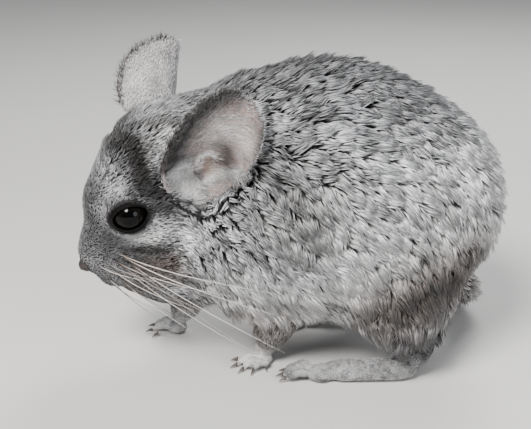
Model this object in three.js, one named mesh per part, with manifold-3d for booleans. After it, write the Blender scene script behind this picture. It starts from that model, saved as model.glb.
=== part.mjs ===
// A life-size grey chinchilla, crouched on all fours with its head lowered and turned a little to its left.
// Millimetres, +Z up, the floor at Z = 0, nose towards -X and the animal's left side towards -Y.
// The body's outer face is the face of its coat. Ellipsoids named after parts of the body are blended into
// one smooth form, and thin cuts part it into head, neck, torso and thighs. Paws, ears, eyes
// and tail are added.
import * as THREE from "three";
import { mergeVertices } from "three/addons/utils/BufferGeometryUtils.js";
import Module from "manifold-3d";

const wasm = await Module();
wasm.setup();

// Driving dimensions of the body, over the coat
const BODY_LENGTH = 132;
const BODY_WIDTH = 108;
const BODY_HEIGHT = 118;
const BELLY_CLEARANCE = 19;
const BODY_CENTRE_X = 10;
const HEAD_LENGTH = 78;
const EAR_LENGTH = 64;
const EAR_WIDTH = 38;
const EYE_RADIUS = 7.6;
const TAIL_HALF_WIDTH = 12;

// The gap kept between pieces that touch
const GAP = 0.3;

// Slivers that a cut leaves are merged while no face moves further than this
const TIDY = 0.12;

// The head's place and turn
const HEAD_AT = [-60, -8, 82];
const HEAD_YAW = 21;
const HEAD_PITCH = 37;
const HEAD_ROLL = -9;

// Moves the whole animal so that the middle of its bounding box is over the origin
const CENTRE_SHIFT = [-0.53, -14.46, 0];

const degrees = THREE.MathUtils.degToRad;
const vector = (list) => new THREE.Vector3(...list);

// Materials, as the animal shows them
const coat = new THREE.MeshStandardMaterial({ color: 0x77787b, roughness: 0.95, metalness: 0 });
const paleCoat = new THREE.MeshStandardMaterial({ color: 0xb4b0ac, roughness: 0.95, metalness: 0 });
const earSkin = new THREE.MeshStandardMaterial({ color: 0x6f6162, roughness: 0.7, metalness: 0 });
const eyeBlack = new THREE.MeshStandardMaterial({ color: 0x08080a, roughness: 0.08, metalness: 0 });
const tailCoat = new THREE.MeshStandardMaterial({ color: 0x4e4a48, roughness: 0.95, metalness: 0 });

// Turns geometry into a solid, with the vertices that its faces share merged
function solid(geometry) {
  const bare = geometry.clone();
  bare.deleteAttribute("normal");
  bare.deleteAttribute("uv");
  const merged = mergeVertices(bare, 1e-3);
  return new wasm.Manifold(
    new wasm.Mesh({
      numProp: 3,
      vertProperties: new Float32Array(merged.attributes.position.array),
      triVerts: new Uint32Array(merged.index.array),
    }),
  );
}

// The largest closed body of a solid, so that scraps of a cut are dropped
function largest(manifold) {
  return manifold.decompose().reduce((best, body) => (body.volume() > best.volume() ? body : best));
}

function joined(solids) {
  return largest(solids.reduce((whole, piece) => whole.add(piece)));
}

function node(name, manifold, material) {
  const { vertProperties, triVerts } = largest(largest(manifold).simplify(TIDY)).getMesh();
  const geometry = new THREE.BufferGeometry();
  geometry.setAttribute("position", new THREE.BufferAttribute(new Float32Array(vertProperties), 3));
  geometry.setIndex(new THREE.BufferAttribute(new Uint32Array(triVerts), 1));
  geometry.computeVertexNormals();
  const mesh = new THREE.Mesh(geometry, material);
  mesh.name = name;
  return mesh;
}

// Moves every vertex of a geometry to where a function puts it
function reshape(geometry, place) {
  const position = geometry.attributes.position;
  const point = new THREE.Vector3();
  for (let i = 0; i < position.count; i++) {
    place(point.fromBufferAttribute(position, i));
    position.setXYZ(i, point.x, point.y, point.z);
  }
  return geometry;
}

// The same solid seen from the other side of the animal
function mirrored(geometry) {
  const flipped = reshape(geometry.clone(), (p) => p.setY(-p.y));
  const index = flipped.index.array;
  for (let i = 0; i < index.length; i += 3) [index[i], index[i + 1]] = [index[i + 1], index[i]];
  return flipped;
}

// A half space as a solid: what lies behind the plane, less half of the gap
const HALF_SPACE = 400;
function behind(plane, inset = GAP / 2) {
  const box = new THREE.BoxGeometry(HALF_SPACE, HALF_SPACE, HALF_SPACE);
  box.translate(0, 0, -HALF_SPACE / 2 - inset);
  box.applyQuaternion(new THREE.Quaternion().setFromUnitVectors(new THREE.Vector3(0, 0, 1), plane.normal));
  return solid(box.translate(...plane.at));
}
const reversed = (plane) => ({ at: plane.at, normal: plane.normal.clone().negate() });
const FLOOR = { at: [0, 0, 0], normal: new THREE.Vector3(0, 0, -1) };
const aboveFloor = (manifold) => manifold.intersect(behind(FLOOR, 0));

// One blended volume of the body: an ellipsoid in a frame of its own
const WORLD = new THREE.Matrix4();
function volume(at, size, { turn = [0, 0, 0], blend = 12, frame = WORLD } = {}) {
  const own = new THREE.Matrix4().makeRotationFromEuler(new THREE.Euler(...turn.map(degrees)));
  own.setPosition(...at);
  return { inverse: frame.clone().multiply(own).invert(), size: vector(size), blend };
}
const both = ([x, y, z], size, options) => [
  volume([x, y, z], size, options),
  volume([x, -y, z], size, options),
];

// Roughly how far a point is outside the blended volumes, and under zero inside them
function outside(point, volumes) {
  let depth = Infinity;
  for (const { inverse, size, blend } of volumes) {
    const q = point.clone().applyMatrix4(inverse);
    const near = q.clone().divide(size);
    const far = near.clone().divide(size).length() || 1;
    const own = (near.length() * (near.length() - 1)) / far;
    const share = Math.max(blend - Math.abs(depth - own), 0) / blend;
    depth = depth === Infinity ? own : Math.min(depth, own) - (share * share * blend) / 4;
  }
  return depth;
}

// The coat's face round a centre: a sphere whose vertices walk in along their rays to the blended volumes.
// Planes stop the walk a little past where the form is cut, so that the cut's rim keeps its true outline.
const WALK = 2;
const MARGIN = 14;
function coatForm(centre, volumes, { reach, around, rings, pole, crowd = 1, planes = [] }) {
  const upward = new THREE.Vector3(0, 1, 0);
  const turn = new THREE.Quaternion().setFromUnitVectors(upward, vector(pole).normalize());
  const middle = vector(centre);
  return reshape(new THREE.SphereGeometry(1, around, rings), (p) => {
    const polar = Math.PI * (Math.acos(THREE.MathUtils.clamp(p.y, -1, 1)) / Math.PI) ** crowd;
    const flat = Math.hypot(p.x, p.z) || 1;
    p.set((p.x / flat) * Math.sin(polar), Math.cos(polar), (p.z / flat) * Math.sin(polar));
    const way = p.clone().applyQuaternion(turn);
    let most = reach;
    for (const { at, normal } of planes) {
      const speed = way.dot(normal);
      const distance = vector(at).sub(middle).dot(normal) + MARGIN;
      if (speed * most > distance) most = distance / speed;
    }
    const place = (t) => middle.clone().addScaledVector(way, t);
    let outer = most;
    if (outside(place(most), volumes) > 0) {
      let inner = most - WALK;
      while (inner > 0 && outside(place(inner), volumes) > 0) inner -= WALK;
      outer = inner + WALK;
      for (let i = 0; i < 12; i++) {
        const half = (inner + outer) / 2;
        if (outside(place(half), volumes) > 0) outer = half;
        else inner = half;
      }
    }
    p.copy(place(outer));
  });
}

// A round-ended form drawn along a curve: stations give the half width across and up at even steps
function drawn(points, across, up, { sides = 8, steps = 8, grow = 0, upward = [0, 0, 1] } = {}) {
  const curve = new THREE.CatmullRomCurve3(points.map(vector), false, "centripetal");
  const sizeAt = (list, t) => {
    const place = t * (list.length - 1);
    const low = Math.min(Math.floor(place), list.length - 2);
    return THREE.MathUtils.lerp(list[low], list[low + 1], place - low) + grow;
  };
  const start = curve.getPoint(0);
  return reshape(new THREE.SphereGeometry(1, sides, steps), (p) => {
    const polar = Math.acos(THREE.MathUtils.clamp(p.y, -1, 1)) / Math.PI;
    const t = THREE.MathUtils.clamp(polar, 0, 1);
    const round = Math.min(1, Math.sqrt(Math.sin(Math.PI * t)) * 1.25);
    const flat = Math.hypot(p.x, p.z) || 1;
    const tangent = curve.getTangent(t);
    const side = new THREE.Vector3().crossVectors(tangent, vector(upward)).normalize();
    const lift = new THREE.Vector3().crossVectors(side, tangent);
    const middle = t <= 0 ? start : curve.getPoint(t);
    const width = Math.hypot(p.x, p.z) < 1e-6 ? 0 : 1;
    const sideways = (p.x / flat) * sizeAt(across, t) * round * width;
    const upwards = (p.z / flat) * sizeAt(up, t) * round * width;
    p.copy(middle).addScaledVector(side, sideways).addScaledVector(lift, upwards);
  });
}

// A drawn form's faces point out whichever way its frame turns
function outward(geometry) {
  const made = solid(geometry);
  if (made.volume() > 0) return made;
  const index = geometry.index.array;
  for (let i = 0; i < index.length; i += 3) [index[i], index[i + 1]] = [index[i + 1], index[i]];
  return solid(geometry);
}

// The head's frame: nose towards +X, left side towards +Y
const headFrame = new THREE.Group();
headFrame.position.set(...HEAD_AT);
headFrame.quaternion
  .setFromAxisAngle(new THREE.Vector3(0, 0, 1), Math.PI + degrees(HEAD_YAW))
  .multiply(new THREE.Quaternion().setFromAxisAngle(new THREE.Vector3(0, 1, 0), degrees(HEAD_PITCH)))
  .multiply(new THREE.Quaternion().setFromAxisAngle(new THREE.Vector3(1, 0, 0), degrees(HEAD_ROLL)));
headFrame.updateMatrix();
const toWorld = headFrame.matrix;
const toHead = toWorld.clone().invert();
const inHead = { frame: toWorld };

// Volumes of the body
const bodyMiddle = BELLY_CLEARANCE + BODY_HEIGHT / 2;
const torsoVolumes = [
  volume([BODY_CENTRE_X, 0, bodyMiddle], [BODY_LENGTH / 2, BODY_WIDTH / 2, BODY_HEIGHT / 2]),
  volume([48, 0, 75], [41, 46, 43], { blend: 12 }),
  ...both([42, 27, 45], [27, 22, 29.5], { blend: 8 }),
  volume([-22, 0, 68], [34, 36, 40], { blend: 14 }),
  ...both([-17, 20, 46], [15, 13, 22], { turn: [0, 10, 0], blend: 8 }),
];
const neckVolumes = [
  volume([-27, -2, 99], [29, 30, 28], { blend: 12 }),
  volume([-57, -8, 45], [19, 17, 17], { blend: 10 }),
  volume([-33, -2, 47], [21, 25, 22], { blend: 12 }),
];

// Volumes of the head, in the head's frame and driven by its length
const h = HEAD_LENGTH / 78;
const headVolumes = [
  volume([-8 * h, 0, 5 * h], [30 * h, 26 * h, 30 * h], { blend: 10, ...inHead }),
  volume([11 * h, 0, 6.5 * h], [23 * h, 17 * h, 20.5 * h], { blend: 6, ...inHead }),
  ...both([1 * h, 12 * h, -9 * h], [21 * h, 14 * h, 17 * h], { blend: 6, ...inHead }),
  volume([19 * h, 0, -6 * h], [19 * h, 16.5 * h, 15.5 * h], { blend: 6, ...inHead }),
  ...both([17.5 * h, 13 * h, 9 * h], [10.5 * h, 7.6 * h, 9 * h], { blend: 4, ...inHead }),
  volume([31 * h, 0, -4.5 * h], [16.5 * h, 11 * h, 14 * h], { blend: 7, ...inHead }),
  volume([20 * h, 0, -18 * h], [18 * h, 11.5 * h, 13 * h], { blend: 5, ...inHead }),
  ...both([36.5 * h, 6 * h, -12 * h], [9.8 * h, 6.8 * h, 8.8 * h], { blend: 3, ...inHead }),
  volume([44 * h, 0, -4.5 * h], [4.6 * h, 4.8 * h, 4.6 * h], { blend: 3, ...inHead }),
  volume([33.5 * h, 0, -22.5 * h], [9 * h, 6.2 * h, 6 * h], { blend: 3, ...inHead }),
];
const bodyVolumes = [...torsoVolumes, ...neckVolumes, ...headVolumes];

// Cuts between head, neck and torso
const headCut = {
  at: new THREE.Vector3(-17 * h, 0, 0).applyMatrix4(toWorld).toArray(),
  normal: new THREE.Vector3(0.96, -0.27, -0.05).normalize(),
};
const neckCut = { at: [-27, 0, 95], normal: new THREE.Vector3(0.96, 0, -0.27).normalize() };

// Torso, parted from the thighs by a rounded cut round each haunch
const grown = (volumes) => volumes.map((v) => ({ ...v, size: v.size.clone().addScalar(GAP * 1.6) }));
const torsoForm = (volumes) =>
  solid(
    coatForm([BODY_CENTRE_X, 0, bodyMiddle], volumes, {
      reach: 110,
      around: 38,
      rings: 27,
      pole: [1, 0, 0],
      planes: [reversed(neckCut)],
    }),
  );
const torsoWhole = torsoForm(bodyVolumes).intersect(behind(reversed(neckCut)));
const THIGH_AT = [43, 39, 40];
const THIGH_SIZE = [27, 27, 31];
function thighCutter(side, grow) {
  const ball = new THREE.SphereGeometry(1, 22, 14);
  ball.scale(...THIGH_SIZE.map((size) => size + grow));
  ball.rotateY(degrees(-24));
  return solid(ball.translate(THIGH_AT[0], side * THIGH_AT[1], THIGH_AT[2]));
}

// Neck: what lies between the two cuts
const neckForm = (volumes) =>
  solid(
    coatForm([-39, -3, 84], volumes, {
      reach: 75,
      around: 34,
      rings: 16,
      pole: [1, 0, 0],
      planes: [neckCut, reversed(headCut)],
    }),
  );
const neckSolid = neckForm(bodyVolumes)
  .intersect(behind(neckCut))
  .intersect(behind(reversed(headCut)));

// Head, with its finest rings round the muzzle
const skullForm = (volumes) =>
  solid(
    coatForm(new THREE.Vector3(6, 0, -2).applyMatrix4(toWorld).toArray(), volumes, {
      reach: 60,
      around: 38,
      rings: 27,
      pole: new THREE.Vector3(1, 0, -0.12).transformDirection(toWorld).toArray(),
      crowd: 1.25,
      planes: [headCut],
    }).applyMatrix4(toHead),
  );
const headCutLocal = {
  at: [-17 * h, 0, 0],
  normal: headCut.normal.clone().transformDirection(toHead),
};
const skull = skullForm([...headVolumes, ...neckVolumes]).intersect(behind(headCutLocal));

// Eyes: globes set in sockets, with a rolled lid round each almond opening
const EYE_AT = [17.5 * h, 13 * h, 9 * h];
const LID_LENGTH = 15.5;
const LID_HEIGHT = 11.5;
const LID_ROLL = 1.1;
const LID_SLANT = -20;
const EYE_UPWARD = 14;
const EYE_FORWARD = 8;
function eyeSet(geometry, side) {
  geometry.rotateY(degrees(LID_SLANT)).rotateX(degrees(EYE_UPWARD)).rotateZ(degrees(-EYE_FORWARD));
  geometry.translate(...EYE_AT);
  return outward(side > 0 ? geometry : mirrored(geometry));
}
function eyeball(side, grow) {
  const ball = new THREE.SphereGeometry(EYE_RADIUS + grow, 18, 12);
  return eyeSet(ball.rotateX(Math.PI / 2), side);
}
function eyeOpening(side) {
  const opening = new THREE.SphereGeometry(1, 18, 8);
  opening.rotateX(Math.PI / 2).scale(LID_LENGTH / 2, 16, LID_HEIGHT / 2);
  return eyeSet(opening, side);
}
function lid(side) {
  const ring = new THREE.TorusGeometry(1, 0.1, 6, 18);
  reshape(ring, (p) => {
    const angle = Math.atan2(p.y, p.x);
    const out = (Math.hypot(p.x, p.y) - 1) * 10 * LID_ROLL;
    const along = Math.cos(angle) * (LID_LENGTH / 2 + out);
    const up = Math.sin(angle) * (LID_HEIGHT / 2 + out);
    const fall = EYE_RADIUS - Math.sqrt(Math.max(0, EYE_RADIUS ** 2 - along * along * 0.8 - up * up * 0.8));
    p.set(along, EYE_RADIUS + 0.5 - fall + p.z * 10 * LID_ROLL, up);
  });
  return eyeSet(ring, side);
}

// Muzzle: nose pad, nostrils, the cleft under the nose and the mouth's line
function nosePad() {
  const pad = new THREE.SphereGeometry(1, 14, 10);
  pad.scale(2.6, 3.4, 2.6);
  return solid(pad.translate(47 * h, 0, -4 * h));
}
const NARROW = { sides: 6, steps: 6 };
function nostril(side) {
  const route = [[50.5, 0.9, -5.4], [48.5, 2, -4.6], [45.5, 3.5, -3]].map(
    ([x, y, z]) => [x * h, y * side, z * h],
  );
  return outward(drawn(route, [0.45, 0.8, 0.5], [0.5, 0.8, 0.5], NARROW));
}
function cleft() {
  const route = [[49.8, 0, -6.5], [48.2, 0, -11], [45, 0, -17]].map(([x, y, z]) => [x * h, y, z * h]);
  return outward(drawn(route, [0.45, 0.45, 0.45], [1, 1.6, 1.6], { ...NARROW, upward: [1, 0, 0.2] }));
}
function mouthLine() {
  const half = [[26, 11.6, -19], [32, 10.8, -18.8], [39, 7.6, -18.6], [44, 0, -18]].map(
    ([x, y, z]) => [x * h, y * h, z * h],
  );
  const route = [...half, ...half.slice(0, -1).reverse().map(([x, y, z]) => [x, -y, z])];
  const heights = [0.4, 0.5, 0.55, 0.55, 0.55, 0.5, 0.4];
  return outward(drawn(route, [2.4, 2.4, 2.6, 2.8, 2.6, 2.4, 2.4], heights, { sides: 6, steps: 22 }));
}

// Ears: a leaf bent across its width into a cup, the front edge rolled in further than the back edge.
// Each ear has its own set, as the animal turns them singly: the way to its tip and the way its hollow faces.
const EAR_CUP = 0.35;
const EAR_RIM = 0.8;
const EAR_SINK = 6;
const EAR_ROOM = 26;
const ears = {
  left: { base: [-4, 25.5, 2.5], tip: [0.43, -0.29, 0.855], face: [-0.2, -0.96, -0.2], length: 0.93 },
  right: { base: [-13, -15, 14], tip: [0.13, 0.25, 0.95], face: [-0.91, 0.38, -0.05], length: 0.74 },
};
function earLeaf(length, room) {
  const leaf = new THREE.SphereGeometry(1, 26, 14);
  leaf.rotateX(Math.PI / 2);
  return reshape(leaf, (p) => {
    const radius = Math.min(1, Math.hypot(p.x, p.y)) * (room ? 1.03 : 1);
    const angle = Math.atan2(p.y, p.x);
    const share = 0.5 + 0.5 * radius * Math.cos(angle);
    const behindHalf = Math.sin(angle) > 0;
    const across = radius * Math.sin(angle) * (behindHalf ? 0.32 + 0.9 * share : 0.7 + 0.45 * share);
    const bend = across < 0 ? 1.4 : 1.1;
    const stretch = across < 0 ? 1.25 : 1.1;
    const half = (EAR_WIDTH / 2) * stretch;
    const spread = (half * Math.sin(bend * across)) / bend;
    const rise = (half * (1 - Math.cos(bend * across))) / bend;
    const hollow = EAR_CUP * (EAR_WIDTH / 2) * (1 - share) * (1 - Math.min(1, radius) ** 2);
    const lean = 5 * share * share;
    const thick = EAR_RIM + 1.6 * (1 - share) * (1 - Math.min(1, radius)) + (room ? GAP : 0);
    const sine = Math.sin(bend * across);
    const open = room && p.z > 0 ? EAR_ROOM * p.z * THREE.MathUtils.smoothstep(share, 0.08, 0.35) : 0;
    const up = rise - hollow - lean + Math.cos(bend * across) * p.z * thick + open;
    p.set(length * share * EAR_LENGTH - EAR_SINK, spread - sine * p.z * thick, up);
  });
}
function ear(name, room = false) {
  const { base, tip, face, length } = ears[name];
  const along = vector(tip).normalize();
  const front = vector(face).addScaledVector(along, -vector(face).dot(along)).normalize();
  const back = new THREE.Vector3().crossVectors(front, along);
  if (back.x < 0) back.negate();
  const frame = new THREE.Matrix4().makeBasis(along, back, front);
  frame.setPosition(new THREE.Vector3(...base).applyMatrix4(toWorld));
  return outward(earLeaf(length, room).applyMatrix4(frame));
}
const earRooms = ear("left", true).add(ear("right", true));

// Paws: a palm with toes and claws, flattened where they stand
function toe(knuckle, tip, radius, claw) {
  const middle = knuckle.map((value, i) => (value + tip[i]) / 2);
  middle[2] += radius * 0.9;
  const reach = vector(tip).sub(vector(knuckle)).normalize();
  const clawTip = vector(tip).addScaledVector(reach, claw).toArray();
  clawTip[2] = radius * 0.35;
  return [
    outward(drawn(
      [knuckle, middle, tip], [radius, radius * 0.92, radius], [radius, radius * 0.9, radius],
      { sides: 6, steps: 5 },
    )),
    outward(drawn(
      [tip, clawTip], [radius * 0.6, radius * 0.42, 0.25], [radius * 0.6, radius * 0.42, 0.25],
      { sides: 5, steps: 4 },
    )),
  ];
}
function paw(at, heading, { toes, length, width, radius, claw, palm }) {
  const frame = new THREE.Matrix4().makeRotationZ(degrees(heading)).setPosition(...at);
  const place = (x, y, z) => new THREE.Vector3(x, y, z).applyMatrix4(frame).toArray();
  const pieces = toes.map(([angle, share]) => {
    const way = degrees(angle);
    const start = place(palm * 0.3 * Math.cos(way), width * 0.42 * Math.sin(way) * 1.6, radius * 1.5);
    const reach = palm * 0.5 + length * share;
    return toe(start, place(reach * Math.cos(way), reach * Math.sin(way), radius * 0.75), radius, claw);
  });
  const sole = [
    place(-palm * 0.85, 0, radius * 1.7),
    place(-palm * 0.3, 0, radius * 1.3),
    place(palm * 0.55, 0, radius * 1.1),
  ];
  pieces.push([outward(drawn(
    sole, [width * 0.34, width * 0.5, width * 0.4], [radius * 1.6, radius * 1.4, radius * 1.1],
    { sides: 10, steps: 8 },
  ))]);
  return pieces.flat();
}

// Forelegs: the near one stands under the chest and the far one is a step ahead
const FORE_PAW = {
  toes: [[38, 0.86], [13, 1], [-12, 1], [-40, 0.86], [74, 0.42]],
  length: 8.4,
  width: 11,
  radius: 1.8,
  claw: 1.6,
  palm: 6.5,
};
const forelegs = {
  left: { top: [-12, -16, 48], elbow: [-8, -17, 31], wrist: [-14, -14, 13], paw: [-18, -14.5, 0], heading: 215 },
  right: { top: [-34, 18, 46], elbow: [-42, 18, 33], wrist: [-54, 17, 14], paw: [-59, 17, 0], heading: 176 },
};
function forelimb({ top, elbow, wrist, paw: [x, y] }, grow = 0) {
  const widths = [11, 11, 7, 4.6];
  const depths = [12, 12, 7.4, 3.4];
  return outward(drawn([top, elbow, wrist, [x, y, 3.2]], widths, depths, { sides: 12, steps: 12, grow }));
}

// Hind feet: a long sole with the shank rising from the heel into the thigh
const HIND_PAW = {
  toes: [[16, 0.94], [0, 1], [-15, 0.94], [34, 0.62]],
  length: 11,
  width: 13,
  radius: 2.2,
  claw: 1.8,
  palm: 8.5,
};
function hindFoot(side) {
  const sole = [[54, side * 28, 4.8], [30, side * 29, 4.6], [6, side * 28.5, 4]];
  const shank = [[40, side * 28, 36], [51, side * 28, 20], [44, side * 28, 3]];
  const outer = side > 0 ? 1 : -1;
  const toes = HIND_PAW.toes.map(([angle, share]) => [angle * outer, share]);
  return [
    outward(drawn(sole, [5.6, 5.6, 6.6], [5, 4.8, 4], { sides: 10, steps: 8 })),
    outward(drawn(shank, [9, 7, 5.6], [10, 8, 6.5], { sides: 12, steps: 8, upward: [1, 0, 0] })),
    ...paw([7, side * 28.5, 0], 180, { ...HIND_PAW, toes }),
  ];
}

// Tail: laid on the floor along the far side, in three lengths
const tailRoute = [
  [66, 6, 40],
  [76, 16, 28],
  [82, 32, 17],
  [77, 50, TAIL_HALF_WIDTH],
  [60, 62, TAIL_HALF_WIDTH],
  [36, 67, TAIL_HALF_WIDTH],
  [8, 69, TAIL_HALF_WIDTH * 0.85],
  [-16, 69, TAIL_HALF_WIDTH * 0.45],
];
const TAIL_PROFILE = [0.6, 0.62, 0.7, 0.85, 0.95, 0.95, 0.8, 0.2];
const tailCurve = new THREE.CatmullRomCurve3(tailRoute.map(vector), false, "centripetal");
function tailCut(share) {
  return { at: tailCurve.getPoint(share).toArray(), normal: tailCurve.getTangent(share) };
}
const tailHalfWidths = TAIL_PROFILE.map((share) => share * TAIL_HALF_WIDTH);
const tailWhole = outward(drawn(tailRoute, tailHalfWidths, tailHalfWidths, { sides: 12, steps: 28 }));
const FIRST_TAIL_CUT = 0.4;
const SECOND_TAIL_CUT = 0.7;

// A seeded random number, so that the coat is the same at each build
let seed = 17;
function random(low, high) {
  seed = (seed * 16807) % 2147483647;
  return low + ((high - low) * seed) / 2147483647;
}

// A lock of the long coat: flat, tapered and bending, its root sunk in the body
const LOCK_SINK = 3;
function lock(root, normal, lie, length, width, lift, curl) {
  const reach = lie.clone().addScaledVector(normal, lift).normalize();
  const start = root.clone().addScaledVector(normal, -LOCK_SINK).addScaledVector(lie, -length * 0.15);
  const middle = root.clone().addScaledVector(reach, length * 0.45);
  const end = root.clone().addScaledVector(reach, length).addScaledVector(normal, -length * curl * lift * 2);
  const shape = { sides: 4, steps: 4, upward: normal.toArray() };
  const points = [start, middle, end].map((p) => p.toArray());
  return outward(drawn(
    points, [width * 0.45, width * 0.5, width * 0.1], [width * 0.26, width * 0.2, width * 0.06], shape,
  ));
}

// The tail's bristles: rows of locks that lie towards its tip
const BRISTLES = { rings: 11, around: 6, length: 22, width: 6.5 };
function bristledTail() {
  let whole = tailWhole;
  for (let ring = 0; ring < BRISTLES.rings; ring++) {
    const share = 0.16 + (0.78 * ring) / (BRISTLES.rings - 1);
    const middle = tailCurve.getPoint(share);
    const lie = tailCurve.getTangent(share);
    const side = new THREE.Vector3().crossVectors(lie, new THREE.Vector3(0, 0, 1)).normalize();
    const up = new THREE.Vector3().crossVectors(side, lie);
    const place = share * (tailHalfWidths.length - 1);
    const low = Math.min(Math.floor(place), tailHalfWidths.length - 2);
    const size = THREE.MathUtils.lerp(tailHalfWidths[low], tailHalfWidths[low + 1], place - low);
    for (let i = 0; i < BRISTLES.around; i++) {
      const angle = ((i + 0.5 * (ring % 2) + random(-0.2, 0.2)) / BRISTLES.around) * Math.PI * 2;
      const normal = side.clone().multiplyScalar(Math.cos(angle)).addScaledVector(up, Math.sin(angle));
      const point = middle.clone().addScaledVector(normal, size);
      const length = BRISTLES.length * random(0.85, 1.15);
      whole = whole.add(lock(point, normal, lie, length, BRISTLES.width, 0.22, 0.2));
    }
  }
  return aboveFloor(whole);
}

// Assembly
const torsoSolid = torsoWhole
  .subtract(thighCutter(1, GAP))
  .subtract(thighCutter(-1, GAP))
  .subtract(earRooms);
const bodyGrown = torsoForm(grown(bodyVolumes));

const animal = new THREE.Group();
animal.name = "chinchilla";
animal.position.set(...CENTRE_SHIFT);

animal.add(node("torso", torsoSolid, coat));
animal.add(node("neck", neckSolid.subtract(earRooms), coat));
for (const [side, name] of [[-1, "left"], [1, "right"]]) {
  const thigh = torsoWhole.intersect(thighCutter(side, 0));
  const foot = joined(hindFoot(side)).subtract(bodyGrown);
  animal.add(node("thigh_" + name, thigh, coat));
  animal.add(node("hind_foot_" + name, aboveFloor(foot), paleCoat));
  const leg = forelegs[name];
  const wristCut = { at: leg.wrist, normal: vector(leg.wrist).sub(vector(leg.elbow)).normalize() };
  const limb = forelimb(leg);
  const upper = limb.subtract(bodyGrown).intersect(behind(wristCut));
  const toes = FORE_PAW.toes.map(([angle, share]) => [angle * (side > 0 ? -1 : 1), share]);
  const hand = joined([
    limb.intersect(behind(reversed(wristCut))),
    ...paw(leg.paw, leg.heading, { ...FORE_PAW, toes }),
  ]);
  animal.add(node("foreleg_" + name, upper, coat));
  animal.add(node("forepaw_" + name, aboveFloor(hand.intersect(behind(reversed(wristCut)))), paleCoat));
}

const tail = bristledTail().subtract(bodyGrown);
const tailRootSolid = tail.intersect(behind(tailCut(FIRST_TAIL_CUT)));
const tailMiddleSolid = tail
  .intersect(behind(reversed(tailCut(FIRST_TAIL_CUT))))
  .intersect(behind(tailCut(SECOND_TAIL_CUT)));
const tailTipSolid = tail.intersect(behind(reversed(tailCut(SECOND_TAIL_CUT))));
animal.add(node("tail_root", tailRootSolid, coat));
animal.add(node("tail_middle", tailMiddleSolid, tailCoat));
animal.add(node("tail_tip", tailTipSolid, tailCoat));

// The head group, whose nodes are in the head's frame
let headSolid = joined([skull.subtract(eyeOpening(1)).subtract(eyeOpening(-1)), nosePad(), lid(1), lid(-1)]);
for (const side of [1, -1]) headSolid = headSolid.subtract(eyeball(side, GAP)).subtract(nostril(side));
headSolid = headSolid.subtract(mouthLine()).subtract(cleft()).subtract(earRooms.transform(toHead.elements));
headFrame.add(node("head", headSolid, coat));
for (const [side, name] of [[1, "left"], [-1, "right"]]) {
  animal.add(node("ear_" + name, ear(name), earSkin));
  headFrame.add(node("eye_" + name, eyeball(side, 0), eyeBlack));
}
animal.add(headFrame);

export default animal;
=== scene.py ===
# %% [markdown]
# # A life-size grey chinchilla
#
# The animal crouches on all fours with its head lowered and turned a little towards its own left side.
# The solid model gives the outline of its coat, its ears, its eyes and its feet. This lesson dresses that
# model: one skin for the whole body, a plush coat of small bent tufts, cupped ears, glossy eyes with lids,
# a nose, claws, whiskers and a bristly tail. Lengths are metres, Z is up, and the nose points to -X.

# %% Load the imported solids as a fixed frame
import math

import bpy
import numpy as np
from mathutils import Matrix, Vector, kdtree


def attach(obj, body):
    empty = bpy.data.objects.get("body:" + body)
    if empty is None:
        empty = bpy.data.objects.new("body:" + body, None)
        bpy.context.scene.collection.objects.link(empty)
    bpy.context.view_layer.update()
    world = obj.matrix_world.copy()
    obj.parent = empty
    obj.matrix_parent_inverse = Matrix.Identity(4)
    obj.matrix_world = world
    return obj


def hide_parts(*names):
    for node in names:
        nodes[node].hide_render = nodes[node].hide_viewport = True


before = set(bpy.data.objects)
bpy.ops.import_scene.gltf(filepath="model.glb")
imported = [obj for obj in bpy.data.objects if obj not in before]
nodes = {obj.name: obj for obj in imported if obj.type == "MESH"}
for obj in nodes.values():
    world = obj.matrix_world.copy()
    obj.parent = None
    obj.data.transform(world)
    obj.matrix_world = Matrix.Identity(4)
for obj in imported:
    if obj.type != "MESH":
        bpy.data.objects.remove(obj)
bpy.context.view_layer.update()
scene = bpy.context.scene
MM = 0.001
rng = np.random.default_rng(11)
print("solids:", sorted(nodes))

# %% [markdown]
# ## Where things are
#
# The head is tilted, so its parts are easiest to place in a frame of the head's own: X towards the nose,
# Y towards the animal's left ear, Z out of the crown. One matrix takes such a point to the body's frame.
# The body's midplane isn't at Y = 0, because the tail lies along one side and the whole animal is centred.

# %% The head's frame and the body's midplane
CENTRE_SHIFT = Vector((-0.53, -14.46, 0))
MIDPLANE = CENTRE_SHIFT.y * MM
HEAD_TURN = (
    Matrix.Rotation(math.radians(180 + 21), 3, "Z")
    @ Matrix.Rotation(math.radians(37), 3, "Y")
    @ Matrix.Rotation(math.radians(-9), 3, "X")
)
HEAD_AT = (Vector((-60, -8, 82)) + CENTRE_SHIFT) * MM
HEAD_AXES = np.array(HEAD_TURN)


def from_head(points):
    """Points in the head's frame, in millimetres, as metres in the body's frame."""
    return np.asarray(points, float) * MM @ HEAD_AXES.T + np.array(HEAD_AT)


def to_head(points):
    """Points in the body's frame, in metres, as millimetres in the head's frame."""
    return (np.asarray(points, float) - np.array(HEAD_AT)) @ HEAD_AXES / MM


def smoothstep(low, high, value):
    share = np.clip((value - low) / (high - low), 0, 1)
    return share * share * (3 - 2 * share)


def unit(vectors):
    return vectors / np.maximum(np.linalg.norm(vectors, axis=-1, keepdims=True), 1e-12)


print("nose tip at", from_head([47, 0, -4]).round(4))

# %% [markdown]
# ## Helpers for selecting and for editing
#
# An operator works on all that is selected, so each step starts by deselecting all. Most shapes start as
# a primitive and are shaped point by point: sculpting written down, with the same shape at each run.

# %% Selecting, reading and writing points


def only(*objects):
    """Selects these objects alone and makes the first one active."""
    bpy.ops.object.select_all(action="DESELECT")
    for thing in objects:
        thing.select_set(True)
    if objects:
        bpy.context.view_layer.objects.active = objects[0]


def started(name, primitive, **settings):
    """Adds a primitive with nothing else selected, and names it."""
    only()
    primitive(**settings)
    bpy.context.object.name = name
    return bpy.context.object


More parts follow.
